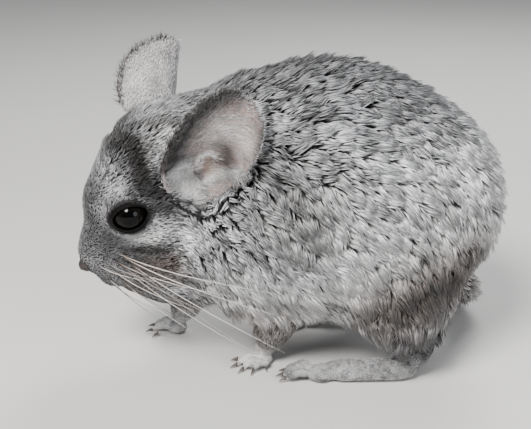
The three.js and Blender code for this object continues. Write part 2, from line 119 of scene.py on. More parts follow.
def read(items, what, width=3, kind=float):
    """One property of all items of a mesh, as an array with a row for each."""
    values = np.empty(len(items) * width, kind)
    items.foreach_get(what, values)
    return values.reshape(-1, width)


def points_of(thing):
    return read(thing.data.vertices, "co")


def set_points(thing, points):
    thing.data.vertices.foreach_set("co", np.asarray(points, np.float32).ravel())
    thing.data.update()


def in_edit_mode(thing, *steps):
    """Runs steps in edit mode with the whole of one mesh selected."""
    only(thing)
    bpy.ops.object.mode_set(mode="EDIT")
    bpy.ops.mesh.select_all(action="SELECT")
    for step in steps:
        step()
    bpy.ops.object.mode_set(mode="OBJECT")


def face_outwards(thing):
    in_edit_mode(thing, lambda: bpy.ops.mesh.normals_make_consistent(inside=False))


def modified(thing, kind, **settings):
    """Adds one modifier and applies it."""
    only(thing)
    modifier = thing.modifiers.new(kind.title(), kind)
    for setting, value in settings.items():
        setattr(modifier, setting, value)
    bpy.ops.object.modifier_apply(modifier=modifier.name)


def dressed(thing, material, slot, *replaced):
    """Finishes a piece: its material, the body it rides on and the solids it stands for. The slot is not
    used.
    """
    thing.data.materials.clear()
    thing.data.materials.append(material)
    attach(thing, "root")
    if replaced:
        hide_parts(*replaced)


def finished(thing, *dress):
    """Turns a modelled shape's faces outwards, shades it smooth and dresses it."""
    face_outwards(thing)
    bpy.ops.object.shade_smooth()
    dressed(thing, *dress)


def mesh_from(name, points, triangles):
    """A smooth-shaded mesh object from arrays of points and triangles."""
    mesh = bpy.data.meshes.new(name)
    mesh.vertices.add(len(points))
    mesh.vertices.foreach_set("co", np.asarray(points, np.float32).ravel())
    mesh.loops.add(len(triangles) * 3)
    mesh.loops.foreach_set("vertex_index", np.asarray(triangles, np.int32).ravel())
    mesh.polygons.add(len(triangles))
    mesh.polygons.foreach_set("loop_start", np.arange(0, len(triangles) * 3, 3, dtype=np.int32))
    mesh.polygons.foreach_set("use_smooth", np.ones(len(triangles), bool))
    mesh.update(calc_edges=True)
    thing = bpy.data.objects.new(name, mesh)
    scene.collection.objects.link(thing)
    return thing


def write_places(thing, places):
    """Gives a mesh a UV map from one place for each of its points."""
    corners = read(thing.data.loops, "vertex_index", 1, np.int32)[:, 0]
    layer = thing.data.uv_layers.new(name="OFBake")
    layer.data.foreach_set("uv", np.asarray(places, np.float32)[corners].ravel())


def tree_of(points):
    """A search tree that finds the nearest of these points."""
    tree = kdtree.KDTree(len(points))
    for i, point in enumerate(points):
        tree.insert(point, i)
    tree.balance()
    return tree


def write_attribute(thing, name, values):
    """Stores one number, or one colour, for each point of a mesh."""
    values = np.asarray(values, np.float32)
    kind = "FLOAT" if values.ndim == 1 else "FLOAT_COLOR"
    attribute = thing.data.attributes.new(name, kind, "POINT")
    attribute.data.foreach_set("value" if values.ndim == 1 else "color", values.ravel())


# %% [markdown]
# ## The camera, the floor and the light
#
# The camera looks at the animal's left side from a little above, as in the photograph. The floor is a
# large pale plane, and three big soft lamps stand for a studio: a key from the upper left, a weak fill
# from the right and a rim lamp behind. Large lamps give soft shadows and round highlights in the eye.

# %% Camera, floor and lamps
TARGET = Vector((-15.97, -14.46, 66.3)) * MM
DISTANCE = 0.42
ELEVATION = math.radians(20)
LENS, SENSOR = 64, 36
FLOOR_SIZE, FLOOR_DROP = 8, 0.0002
away = Vector((0, -math.cos(ELEVATION), math.sin(ELEVATION)))
camera_data = bpy.data.cameras.new("camera")
camera_data.lens, camera_data.sensor_width = LENS, SENSOR
camera_data.clip_start, camera_data.clip_end = 0.01, 50
camera = bpy.data.objects.new("camera", camera_data)
scene.collection.objects.link(camera)
camera.location = TARGET + away * DISTANCE
camera.rotation_euler = (-away).to_track_quat("-Z", "Y").to_euler()
scene.camera = camera


def lamp(name, place, power, size, colour):
    data = bpy.data.lights.new(name, "AREA")
    data.energy, data.shape, data.size, data.color = power, "DISK", size, colour
    thing = bpy.data.objects.new(name, data)
    scene.collection.objects.link(thing)
    thing.location = place
    thing.rotation_euler = (TARGET - Vector(place)).to_track_quat("-Z", "Y").to_euler()


lamp("key_lamp", (-0.3, -0.62, 0.75), 18.5, 0.34, (1.0, 0.985, 0.96))
lamp("fill_lamp", (0.75, -0.65, 0.35), 5.5, 0.6, (0.94, 0.97, 1.0))
lamp("rim_lamp", (0.3, 0.6, 0.85), 8.0, 0.5, (1.0, 1.0, 1.0))

world = bpy.data.worlds.new("studio")
scene.world = world
world.use_nodes = True
sky = world.node_tree.nodes["Background"].inputs
sky["Color"].default_value, sky["Strength"].default_value = (0.80, 0.82, 0.85, 1), 0.34

plane = bpy.ops.mesh.primitive_plane_add
floor = started("floor", plane, size=FLOOR_SIZE, location=(0, 0, -FLOOR_DROP))
print("camera at", tuple(round(x, 3) for x in camera.location))

# %% [markdown]
# ## Materials
#
# Each material is a small graph of nodes. A helper adds a node and sets or links its sockets, so that a
# graph reads like a formula. Colours that change over a hair read numbers stored on the mesh: how far
# along the hair a point is, a chance number for each tuft, and the markings and painted shade of the
# place where it grows.

# %% A helper that builds node graphs


class Graph:
    """Builds a material's node graph."""

    def __init__(self, name):
        self.material = bpy.data.materials.new(name)
        self.material.use_nodes = True
        self.tree = self.material.node_tree
        self.shader = self.tree.nodes["Principled BSDF"]

    def node(self, kind, inputs, **settings):
        """A new node, with values or links for some of its input sockets."""
        made = self.tree.nodes.new("ShaderNode" + kind)
        for setting, value in settings.items():
            setattr(made, setting, value)
        for socket, value in inputs.items():
            self.put(made.inputs[socket], value)
        return made

    def put(self, socket, value):
        if isinstance(value, bpy.types.NodeSocket):
            self.tree.links.new(value, socket)
        else:
            socket.default_value = (*value, 1) if isinstance(value, tuple) else value

    def attribute(self, name, output="Fac"):
        return self.node("Attribute", {}, attribute_name=name).outputs[output]

    def ramp(self, value, *stops):
        """A colour ramp from (place, brightness or colour) stops."""
        made = self.node("ValToRGB", {0: value})
        elements = made.color_ramp.elements
        while len(elements) < len(stops):
            elements.new(0.5)
        for element, (place, colour) in zip(elements, stops):
            element.position = place
            colour = (colour,) * 3 if isinstance(colour, (int, float)) else colour
            element.color = (*colour, 1)
        return made.outputs[0]

    def math(self, operation, first, second):
        return self.node("Math", {0: first, 1: second}, operation=operation).outputs[0]

    def mix(self, share, first, second, blend="MIX"):
        colours = {0: share, 6: first, 7: second}
        return self.node("Mix", colours, data_type="RGBA", blend_type=blend).outputs[2]

    def noise(self, scale, detail, roughness=0.55):
        place = self.node("TexCoord", {}).outputs["Object"]
        inputs = {"Vector": place, "Scale": scale, "Detail": detail, "Roughness": roughness}
        return self.node("TexNoise", inputs).outputs[0]

    def bump(self, height, distance, strength):
        made = self.node("Bump", {"Height": height, "Distance": distance, "Strength": strength})
        self.put(self.shader.inputs["Normal"], made.outputs["Normal"])

    def marks(self):
        """The sockets of the three markings of a place, some of them painted shade: pale, dark and warm.
        """
        return self.node("SeparateColor", {0: self.attribute("marks", "Color")}).outputs

    def finish(self, **sockets):
        for socket, value in sockets.items():
            self.put(self.shader.inputs[socket.replace("_", " ")], value)
        return self.material


def marked(graph, colour, share=1.0):
    """The colour after the animal's markings and painted shade. The share is how far the pale ones show.
    """
    pale, dark, warm = graph.marks()
    pale = graph.math("MULTIPLY", pale, share)
    colour = graph.mix(pale, colour, graph.mix(0.72, colour, (0.95, 0.945, 0.94)))
    colour = graph.mix(warm, colour, graph.mix(0.7, colour, (0.27, 0.18, 0.135)))
    dark = graph.math("MULTIPLY", dark, 1.15)
    return graph.mix(dark, colour, graph.mix(1.0, colour, (0.085, 0.08, 0.078), "MULTIPLY"))


# %% [markdown]
# The coat of a chinchilla is banded: each hair is slate at its root, pale for most of its length and dark
# at its very tip. The tufts carry those bands, so partings show dark and the surface sparkles. The skin
# under them is slate, and it wears the same markings and painted shade.

# %% Coat, skin and floor materials


def coat_material(name, root, band, tip, tip_from):
    """A banded coat: its root's, its band's and its tip's colour, and how far along the tip begins."""
    graph = Graph(name)
    along = graph.attribute("along")
    bands = graph.ramp(along, (0.0, root), (0.34, root), (0.62, band), (tip_from, band), (1.0, tip))
    tone = graph.attribute("tone")
    shade = graph.ramp(tone, (0.12, 0.1), (0.34, 0.75), (0.55, 1.15), (0.8, 1.5))
    patches = graph.ramp(graph.noise(110, 4.0), (0.34, 0.55), (0.64, 1.12))
    pale_share = graph.ramp(along, (0.1, 0.1), (0.5, 1.0), (0.8, 1.0), (1.0, 0.35))
    colour = marked(graph, bands, pale_share)
    shaded = graph.math("SUBTRACT", 1.0, graph.math("MULTIPLY", graph.marks()[0], 0.4))
    colour = graph.mix(shaded, colour, shade, "MULTIPLY")
    colour = graph.mix(1.0, colour, patches, "MULTIPLY")
    graph.finish(Base_Color=colour, Roughness=0.62, Specular_IOR_Level=0.28)
    return graph.finish(Sheen_Weight=0.12, Sheen_Roughness=0.5)


coat = coat_material(
    "plush_coat", (0.008, 0.008, 0.01), (0.52, 0.525, 0.545), (0.02, 0.02, 0.022), 0.82
)
face_coat = coat_material(
    "face_coat", (0.02, 0.02, 0.022), (0.33, 0.33, 0.34), (0.04, 0.038, 0.038), 0.82
)
tail_coat = coat_material(
    "tail_bristles", (0.012, 0.01, 0.009), (0.13, 0.12, 0.112), (0.012, 0.01, 0.009), 0.86
)



def grainy(name, grain, first, second, bump, with_marks=False, **sockets):
    """A material of two colours mixed by a fine noise, which raises its bumps too."""
    graph = Graph(name)
    fine = graph.noise(*grain)
    colour = graph.mix(fine, first, second)
    graph.bump(fine, *bump)
    return graph.finish(Base_Color=marked(graph, colour) if with_marks else colour, **sockets)


slate = (0.022, 0.021, 0.023), (0.07, 0.066, 0.066)
look = {"with_marks": True, "Roughness": 0.8, "Specular_IOR_Level": 0.2}
skin_material = grainy("slate_skin", (900, 4.0), *slate, (0.0004, 0.6), **look)

graph = Graph("pale_floor")
colour = graph.mix(graph.noise(6, 3.0), (0.60, 0.59, 0.575), (0.66, 0.65, 0.635))
graph.bump(graph.noise(700, 2.0), 0.0001, 0.2)
floor.data.materials.append(graph.finish(Base_Color=colour, Roughness=0.7))

# %% [markdown]
# ## The skin
#
# The solids are parted by thin cuts, because the model names its head, neck, torso, thighs and legs. A
# real skin has no such seams. Copies of those solids are joined, swollen by a quarter of a millimetre to
# close the cuts and wrapped by a voxel remesh, which keeps one closed surface of even small faces.

# %% One skin from the solids of the body
SWELL, SKIN_VOXEL, EAR_VOXEL = 0.00025, 0.001, 0.0006
LIMBS = ("thigh", "hind_foot", "foreleg", "forepaw")
FLESH = ["torso", "neck", "head"] + [f"{part}_{side}" for part in LIMBS for side in ("left", "right")]


def copied(name, sources):
    """A joined and welded copy of some solids, as a new object."""
    copies = []
    for source in sources:
        twin = bpy.data.objects.new(name, nodes[source].data.copy())
        scene.collection.objects.link(twin)
        copies.append(twin)
    only(*copies)
    if len(copies) > 1:
        bpy.ops.object.join()
    whole = bpy.context.object
    whole.name = name
    in_edit_mode(whole, lambda: bpy.ops.mesh.remove_doubles(threshold=1e-6))
    return whole


skin = copied("skin", FLESH)
in_edit_mode(skin, lambda: bpy.ops.transform.shrink_fatten(value=SWELL))
modified(skin, "REMESH", mode="VOXEL", voxel_size=SKIN_VOXEL, use_smooth_shade=True)
print("skin:", len(skin.data.polygons), "faces")

# %% [markdown]
# Many numbers live on the skin's points: how deep the coat is, how long a tuft is, which way it lies.
# Averaging each point with its neighbours makes them change softly over the body. It rounds off the
# facets of the solids too.

# %% Averaging over the surface


class Surface:
    """A mesh seen as arrays: its points, their normals and the pairs of neighbours."""

    def __init__(self, thing):
        self.thing = thing
        edges = read(thing.data.edges, "vertices", 2, np.int32)
        self.ends = np.concatenate([edges, edges[:, ::-1]])
        self.count = len(thing.data.vertices)
        self.neighbours = np.maximum(np.bincount(self.ends[:, 0], minlength=self.count), 1)
        self.refresh()

    def refresh(self):
        self.points = points_of(self.thing)
        self.normals = read(self.thing.data.vertex_normals, "vector")

    def move(self, points):
        """Gives the mesh these points and reads its new normals."""
        set_points(self.thing, points)
        self.refresh()

    def average(self, values, times, share=0.5):
        """Mixes each point's value with its neighbours' mean, over and over."""
        values = np.asarray(values, float)
        flat = values.reshape(self.count, -1).copy()
        share = np.broadcast_to(np.asarray(share, float).reshape(-1, 1), (self.count, 1))
        start, end = self.ends.T
        for _ in range(times):
            for column in range(flat.shape[1]):
                sums = np.bincount(start, flat[end, column], self.count)
                flat[:, column] += share[:, 0] * (sums / self.neighbours - flat[:, column])
        return flat.reshape(values.shape)


body = Surface(skin)

# The corner of a solid that is nearest to a point of the skin tells which part that point belongs to
solid_points = [points_of(nodes[name]) for name in FLESH]
owners = np.repeat(range(len(FLESH)), [len(points) for points in solid_points])
finder = tree_of(np.concatenate(solid_points))
part_of = np.array([owners[finder.find(point)[1]] for point in body.points])


def is_part(*names):
    """1 on the points of the skin that belong to the named parts, fading at their edges."""
    chosen = [i for i, name in enumerate(FLESH) if name.split("_l")[0].split("_r")[0] in names]
    return body.average(np.isin(part_of, chosen).astype(float), 6)


on_torso, on_head, on_neck = is_part("torso", "thigh"), is_part("head"), is_part("neck")
on_foreleg, on_forepaw, on_foot = is_part("foreleg"), is_part("forepaw"), is_part("hind_foot")
on_limbs = np.clip(on_foreleg + on_forepaw + on_foot, 0, 1)

# The solids' facets are rounded most on the body and least round the eyes, nose and toes
ahead = to_head(body.points)[:, 0]
features = np.maximum.reduce([on_head * smoothstep(-5, 15, ahead), on_forepaw, on_foot])
body.move(body.average(body.points, 14, 0.5 - 0.42 * features))
print("parts:", {name: int((part_of == i).sum()) for i, name in enumerate(FLESH)})

# %% [markdown]
# ## Length, lift and depth of the coat
#
# The coat is longest over the back and flanks and shortest on the muzzle, round the eyes and on the feet.
# A tuft leaves the skin at a steep angle and bends over until it lies along the body. From its length and
# these two angles follows how far the tufts stand proud, and the skin is sunk by just that depth, so the
# tips end where the solid model has the face of the coat.

# %% Maps of the coat
EYE_AT = np.array([17.5, 13, 9])
EYE_RADIUS = 7.6
LID_LENGTH, LID_HEIGHT, LID_ROLL = 15.5, 11.5, 0.85
EYE_TURN = np.array(
    Matrix.Rotation(math.radians(-8), 3, "Z")
    @ Matrix.Rotation(math.radians(14), 3, "X")
    @ Matrix.Rotation(math.radians(-20), 3, "Y")
)
# The fur's lengths in millimetres, and by how much it is shorter or longer in some places
TORSO_FUR, NECK_FUR, LEG_FUR, PAW_FUR, FOOT_FUR = 10.5, 8.8, 4.2, 0.8, 1.5
CROWN_FUR, SHORTER_AT_NOSE = 7.0, 5.2
TEMPLE_FUR, SHORTER_AT_EYE = 6.0, 3.3
LONGER_AT_HEM, LONGER_AT_CHIN = 3.0, 4.0
CHIN_AT, CHIN_REACH = [32, 0, -25], [8, 8, 5]
# The angles in degrees at which a long tuft leaves the skin and ends, and how much flatter a short one is
ROOT_LIFT, ROOT_FLATTER = 54, 28
TIP_LIFT, TIP_FLATTER = 19, 11
FEATURE_DEPTH = 1.2


def folded(points):
    """The same points with the right side folded over onto the left one."""
    return np.stack([points[:, 0], np.abs(points[:, 1]), points[:, 2]], 1)


def eye_ring(points):
    """How many lid openings a point in the head's frame is from the eye: 1 on the lid's edge."""
    local = (folded(points) - EYE_AT) @ EYE_TURN
    ring = np.hypot(local[:, 0] / (LID_LENGTH / 2), local[:, 2] / (LID_HEIGHT / 2))
    return np.where(local[:, 1] > 0, ring, 9), local


here = to_head(body.points)
ring, _ = eye_ring(here)
near_eye = 1 - smoothstep(1.0, 2.6, ring)
to_nose = smoothstep(-14, 44, here[:, 0])
head_length = np.minimum(CROWN_FUR - SHORTER_AT_NOSE * to_nose, TEMPLE_FUR - SHORTER_AT_EYE * near_eye)
length = TORSO_FUR * on_torso + NECK_FUR * on_neck + head_length * on_head
length += LEG_FUR * on_foreleg + PAW_FUR * on_forepaw + FOOT_FUR * on_foot
length /= np.maximum(on_torso + on_neck + on_head + on_foreleg + on_forepaw + on_foot, 1e-6)
sideways = smoothstep(0.25, 0.7, np.abs(body.normals[:, 1]))
length += LONGER_AT_HEM * (on_torso * smoothstep(52, 34, body.points[:, 2] / MM) * sideways)
from_chin = np.linalg.norm((here - CHIN_AT) / CHIN_REACH, axis=1)
length += LONGER_AT_CHIN * np.exp(-(from_chin**2))
length = body.average(length, 10) * MM
shortness = 1 - smoothstep(1.5 * MM, 9 * MM, length)
root_lift = np.radians(ROOT_LIFT - ROOT_FLATTER * shortness)
tip_lift = np.radians(TIP_LIFT - TIP_FLATTER * shortness)
depth = length * (np.sin(root_lift) + np.sin(tip_lift)) / 2
depth = body.average(depth, 12)
depth = np.where(features > 0.5, np.minimum(depth, FEATURE_DEPTH * MM), depth)
depth = body.average(depth, 12)
body.move(body.points - body.normals * depth[:, None])
body.move(body.average(body.points, 3, 0.5 - 0.4 * features))
print("coat depth from", round(depth.min() / MM, 2), "to", round(depth.max() / MM, 2), "mm")

# %% [markdown]
# ## Folds of the face
#
# The remesh has softened the mouth's line, the cleft and the nostrils. They are pressed in again: each
# point of the skin near a line moves inwards, most on the line itself and not at all a little way off.

# %% Press the mouth's line, the cleft and the nostrils into the skin


def from_line(points, line):
    """Each point's distance to a line of points."""
    line = np.asarray(line, float)
    nearest = np.full(len(points), 1e9)
    for start, end in zip(line[:-1], line[1:]):
        reach = end - start
        share = np.clip((points - start) @ reach / (reach @ reach), 0, 1)
        nearest = np.minimum(nearest, np.linalg.norm(points - start - share[:, None] * reach, axis=1))
    return nearest


def stroke(points, line, width):
    """1 on a line of points, fading to nothing a few widths away."""
    return np.exp(-((from_line(points, line) / width) ** 2))


here = to_head(body.points)
MOUTH = [[24, 11, -18.5], [32, 10, -18.3], [39, 7, -18], [44, 0, -17.5]]
CLEFT = [[48.5, 0, -7], [47, 0, -12], [44, 0, -17.5]]
NOSTRIL = [[48.6, 2.2, -5.2], [46.5, 3.6, -3.6]]
press = np.zeros(body.count)
for line, width, amount in ((MOUTH, 1.5, 1.1), (CLEFT, 1.1, 0.9), (NOSTRIL, 1.0, 1.2)):
    press = np.maximum(press, amount * stroke(folded(here), line, width))
body.move(body.points - body.normals * (press * MM)[:, None])

# %% [markdown]
# ## Markings and painted shade
#
# A marking is a soft-edged stroke: a line of points with a width, in the head's frame or in the body's.
# Where strokes of one kind meet, the strongest counts. The skin and the tufts call the same function, so
# they always agree. Both sides of the animal carry the same strokes. Most strokes are the coat's own
# colours, but the dark and brownish strokes over and under the haunch are painted shade.

# %% Markings and painted shade as soft strokes: kind, strength, width and line in millimetres
HEAD_MARKS = [
    ("dark", 1.0, 6.0, [[4, 0, 30], [0, 9, 28.5], [8, 19, 17], [4, 23, 10.5], [-0.5, 27, 4.5]]),
    ("dark", 0.85, 4.0, [[9.8, 20.4, 9.9], [5, 24, 4], [-2, 29, -1]]),
    ("dark", 0.9, 3.0, [[-5, 3, 31], [-19, 12, 26]]),
    ("dark", 0.95, 11.0, [[48, 0, -3], [42, 4.6, 2], [36, 7, 4]]),
    ("dark", 0.6, 6.0, [[33, 4, 12], [25, 0, 21]]),
    ("dark", 0.85, 5.5, [[39, 9, 0], [34.4, 13, -6], [29.5, 14.3, -12]]),
    ("dark", 0.9, 6.5, [[40.5, 11.5, -9], [37, 12.6, -15]]),
    ("dark", 0.9, 3.4, [[31.3, 13.4, -2], [25, 16.2, -7], [19, 20, -11]]),
    ("dark", 0.75, 8.5, [[29.6, 15, -17], [24.8, 19, -20], [24, 23, -26]]),
    ("pale", 0.8, 3.6, [[18, 10.7, 22], [15, 13, 21.4]]),
    ("pale", 1.0, 10.0, [[-17, 10, 31], [-14, 15, 25]]),
    ("pale", 0.85, 6.0, [[-9, 20, 20], [-7, 24, 12]]),
    ("pale", 1.0, 3.8, [[26, 17, 8.5], [24, 16.7, 2], [20, 18.5, -2.5], [14.8, 21.6, -3.2]]),
    ("pale", 0.7, 5.0, [[12, 22.4, -0.5], [9, 25, -6]]),
    ("pale", 0.5, 7.0, [[12, 24, -10.5], [-3, 30, -8]]),
    ("pale", 0.9, 6.0, [[36, 4, -24], [27, 7, -26]]),
    ("warm", 0.6, 7.0, [[36, 4, -24], [27, 7, -26]]),
    ("warm", 1.0, 9.0, [[33, 12, -19], [25, 18, -20], [24, 22, -27], [32, 14, -26]]),
]
BODY_MARKS_AND_SHADE = [
    ("dark", 0.62, 42, [[-32, 0, 128], [0, 0, 140], [34, 0, 142]]),
    ("dark", 0.6, 24, [[-22, 42, 106], [-6, 50, 90]]),
    # The next three strokes are painted shade: a dark, brownish band over the haunch, where the hem of the
    # flank fur overhangs it, and a dark band over its lowest part, near the floor
    ("dark", 1.0, 13, [[24, 46, 36], [40, 49, 46], [54, 46, 54], [69, 36, 58]]),
    ("dark", 0.8, 13, [[36, 42, 24], [60, 34, 30]]),
    ("warm", 1.0, 15, [[24, 46, 36], [40, 49, 46], [54, 46, 54], [69, 36, 58]]),
    ("pale", 1.0, 34, [[0, 58, 84], [30, 58, 78]]),
    ("pale", 1.0, 34, [[44, 48, 92], [66, 34, 94], [74, 0, 88]]),
    ("pale", 1.0, 20, [[-30, 24, 46], [0, 38, 44], [26, 46, 56]]),
    ("warm", 0.5, 8, [[-34, 18, 38], [3, 38, 37], [26, 47, 48], [38, 49, 57], [54, 46, 65], [67, 40, 71]]),
    ("warm", 0.8, 18, [[-34, 0, 30], [30, 0, 18]]),
    ("warm", 0.7, 12, [[-8, 17, 34], [-14, 14, 20]]),
    ("pale", 1.0, 9, [[-16, 14, 7], [-26, 20, 2]]),
    ("pale", 0.9, 9, [[-55, 17, 8], [-66, 17, 2]]),
    ("pale", 0.7, 8, [[48, 28, 3], [0, 28, 3]]),
]
KINDS = ["pale", "dark", "warm"]


def add_mark(marks, kind, share):
    """Marks each point by a stroke, unless a stronger one of that kind is there."""
    column = KINDS.index(kind)
    marks[:, column] = np.maximum(marks[:, column], share)


def markings_and_shade(points):
    """Red, green and blue for pale, dark and warm, at points in metres. Some of the dark and warm is
    painted shade.
    """
    marks = np.zeros((len(points), 4))
    local = folded(to_head(points))
    near_head = smoothstep(-46, -30, -np.linalg.norm(local, axis=1))
    trunk = folded((points - [0, MIDPLANE, 0]) / MM)
    for place, strokes, weight in ((local, HEAD_MARKS, near_head), (trunk, BODY_MARKS_AND_SHADE, 1 - near_head)):
        for kind, strength, width, line in strokes:
            add_mark(marks, kind, strength * weight * stroke(place, line, width))
    by_eye = smoothstep(1.24, 1.08, eye_ring(local)[0])
    marks[:, 0] *= 1 - by_eye
    add_mark(marks, "dark", 0.95 * by_eye)
    marks[:, 3] = 1
    return marks


# Under deep fur the skin stays dark, so that the partings do, and only the bare paws are pale
# The skin wears the painted shade of the haunch as well
skin_marks_and_shade = markings_and_shade(body.points)
skin_marks_and_shade[:, 0] *= 1 - 0.85 * smoothstep(2 * MM, 5 * MM, length)
write_attribute(skin, "marks", skin_marks_and_shade)

# %% [markdown]
# ## The lie of the coat
#
# Fur lies from the nose to the tail and turns downwards over the flanks, the rump and the legs. A few
# rules give each point a rough way, which is then flattened onto the skin and averaged.

# %% Which way the tufts lie
WHORL_AT, WHORL_REACH = [8, 50, 97], 30


def flattened(vectors, normals):
    return unit(vectors - (vectors * normals).sum(1)[:, None] * normals)


x, y, z = (body.points / MM).T
rearwards = smoothstep(-30, 75, x)
lie = np.stack([1.0 - 0.85 * rearwards**2, np.zeros_like(x), -0.25 - 1.0 * rearwards], 1)
whorl = np.stack([x, np.abs(y - MIDPLANE / MM), z], 1) - WHORL_AT
whorl_pull = np.exp(-((np.linalg.norm(whorl, axis=1) / WHORL_REACH) ** 2))
lie += unit(whorl) * [1, 0, 1] * whorl_pull[:, None] * 0.8
lie += np.array([0, 0, -0.7]) * smoothstep(70, 40, z)[:, None]
head_side = np.sign(here[:, 1])
head_way = np.stack([-np.ones(body.count), 0.25 * head_side, np.full(body.count, -0.12)], 1)
from_eye = eye_ring(here)[1] * [1, 0, 1]
push = unit(from_eye) @ EYE_TURN.T
push[:, 1] *= head_side
head_way += push * (1.5 * np.exp(-(((ring - 1.0) / 0.6) ** 2)))[:, None]
head_way = head_way @ HEAD_AXES.T
limb_way = np.stack([-0.25 - 0.6 * on_forepaw - on_foot, np.zeros_like(x), -1.0 + 0.9 * on_foot], 1)
lie = lie * (1 - on_head[:, None]) + head_way * on_head[:, None]
lie = lie * (1 - on_limbs[:, None]) + limb_way * on_limbs[:, None]
lie = flattened(lie, body.normals)
for _ in range(3):
    lie = flattened(body.average(lie, 5), body.normals)

# %% [markdown]
# ## An unwrap for the skin
#
# The skin needs a UV map, so that its markings and painted shade can be baked into a picture. Each tuft
# gets a small patch of that map at the place of its root.

# %% Unwrap the skin


def unwrapped(thing):
    if not thing.data.uv_layers:
        thing.data.uv_layers.new(name="OFBake")
    thing.data.uv_layers[0].name = "OFBake"
    widest = math.radians(80)
    in_edit_mode(thing, lambda: bpy.ops.uv.smart_project(angle_limit=widest, island_margin=0.001))


unwrapped(skin)
print("skin unwrapped")

# %% [markdown]
# ## Tufts
#
# A tuft is a bent three-sided spike of ten triangles, closed at its root: flat enough to overlap like a
# lock of hair and cheap enough to be repeated over the whole animal. All of them are built at once
# as arrays, which is thousands of times quicker than one operator for each. Neighbouring tufts lean their
# tips together in clumps, and that gives the plush its partings.

# %% Build many tufts at once
SIDES = 3
PROFILE = [(0.0, 0.75), (0.5, 1.0)]
PATCH = 0.003
ROOT_SINK, CLEAR_OF_FLOOR = 0.0004, 0.0002
TUFTS_IN_CLUMP = 17


def tuft_mesh(name, roots, normals, lies, lengths, widths, lifts, tones, marks, uvs, clumping):
    """One mesh of tufts. Lifts are the two angles in radians at which a tuft leaves the skin and ends."""
    total = len(roots)
    first = lies * np.cos(lifts[0])[:, None] + normals * np.sin(lifts[0])[:, None]
    second = lies * np.cos(lifts[1])[:, None] + normals * np.sin(lifts[1])[:, None]
    start = roots - normals * ROOT_SINK
    middle = roots + first * lengths[:, None] * 0.5
    end = middle + second * lengths[:, None] * 0.5
    leaders = rng.choice(total, total // TUFTS_IN_CLUMP, replace=False)
    tree = tree_of(roots[leaders])
    mine = leaders[[tree.find(root)[1] for root in roots]]
    close = np.exp(-((np.linalg.norm(roots - roots[mine], axis=1) / (lengths * 0.6)) ** 2))
    pull = (clumping * close)[:, None]
    middle = middle + (middle[mine] - middle) * pull * 0.35
    end = end + (end[mine] - end) * pull
    tones = 0.45 * tones + 0.55 * tones[mine]
    across = unit(np.cross(lies, normals))
    upward = unit(np.cross(across, end - start))
    points = np.empty((total, SIDES * len(PROFILE) + 1, 3))
    along = np.empty((total, SIDES * len(PROFILE) + 1))
    for ring_number, (share, width) in enumerate(PROFILE):
        centre = start if ring_number == 0 else middle * 0.82 + (start + end) * 0.09
        for corner in range(SIDES):
            angle = math.pi / 2 + corner * 2 * math.pi / SIDES
            offset = across * math.cos(angle) - upward * math.sin(angle) * 0.6
            column = ring_number * SIDES + corner
            points[:, column] = centre + offset * (widths * width / 2)[:, None]
            along[:, column] = share
    points[:, -1], along[:, -1] = end, 1
    points[..., 2] = np.maximum(points[..., 2], CLEAR_OF_FLOOR)
    faces = [[0, 2, 1]]
    for corner in range(SIDES):
        after = (corner + 1) % SIDES
        faces += [[corner, after, SIDES + after], [corner, SIDES + after, SIDES + corner]]
        faces.append([SIDES + corner, SIDES + after, 2 * SIDES])
    faces = np.array(faces)
    triangles = (faces[None] + (np.arange(total) * points.shape[1])[:, None, None]).reshape(-1, 3)
    thing = mesh_from(name, points.reshape(-1, 3), triangles)
    write_attribute(thing, "along", along.ravel())
    write_attribute(thing, "tone", np.repeat(tones, points.shape[1]))
    write_attribute(thing, "marks", np.repeat(marks, points.shape[1], axis=0))
    corners = np.array([[i / SIDES, s] for s, _ in PROFILE for i in range(SIDES)] + [[0.5, 1.0]])
    write_places(thing, (uvs[:, None, :] + (corners[None] - 0.5) * PATCH).reshape(-1, 2))
    return thing


# %% [markdown]
# Roots are drawn by chance over the triangles of a surface, more of them where the coat is finer. The
# values on the three corners of the triangle are mixed for each root.

# %% Draw roots over a surface


def grown_on(thing, density, count):
    """Draws roots. Gives a function that mixes values for each root, and its place on the unwrap."""
    mesh = thing.data
    mesh.calc_loop_triangles()
    corners, loops = (read(mesh.loop_triangles, what, 3, np.int32) for what in ("vertices", "loops"))
    points = points_of(thing)
    a, b, c = (points[corners[:, i]] for i in range(3))
    weights = np.linalg.norm(np.cross(b - a, c - a), axis=1) * density[corners].mean(1)
    totals = np.cumsum(weights)
    draws = (np.arange(count) + rng.random(count)) / count * totals[-1]
    chosen = np.minimum(np.searchsorted(totals, draws), len(corners) - 1)
    shares = rng.dirichlet((1, 1, 1), count)
    uv = read(mesh.uv_layers["OFBake"].data, "uv", 2)
    places = (uv[loops[chosen]] * shares[..., None]).sum(1)

    def mixed(values):
        values = np.asarray(values)
        picked = values[corners[chosen]]
        return (picked * shares.reshape(shares.shape + (1,) * (picked.ndim - 2))).sum(1)

    return mixed, places


def wandering(lies, normals, spread):
    """Turns each lie by a small chance angle about the surface's normal."""
    turn = rng.normal(0, spread, len(lies))[:, None]
    return unit(lies * np.cos(turn) + np.cross(normals, lies) * np.sin(turn))


# %% [markdown]
# ## The coat of the body, head and legs
#
# The tufts are parted into pieces by where they grow, so that each piece stays small enough to be saved
# whole. No tuft grows on the eyes, the nose's tip, the mouth's line or the soles.

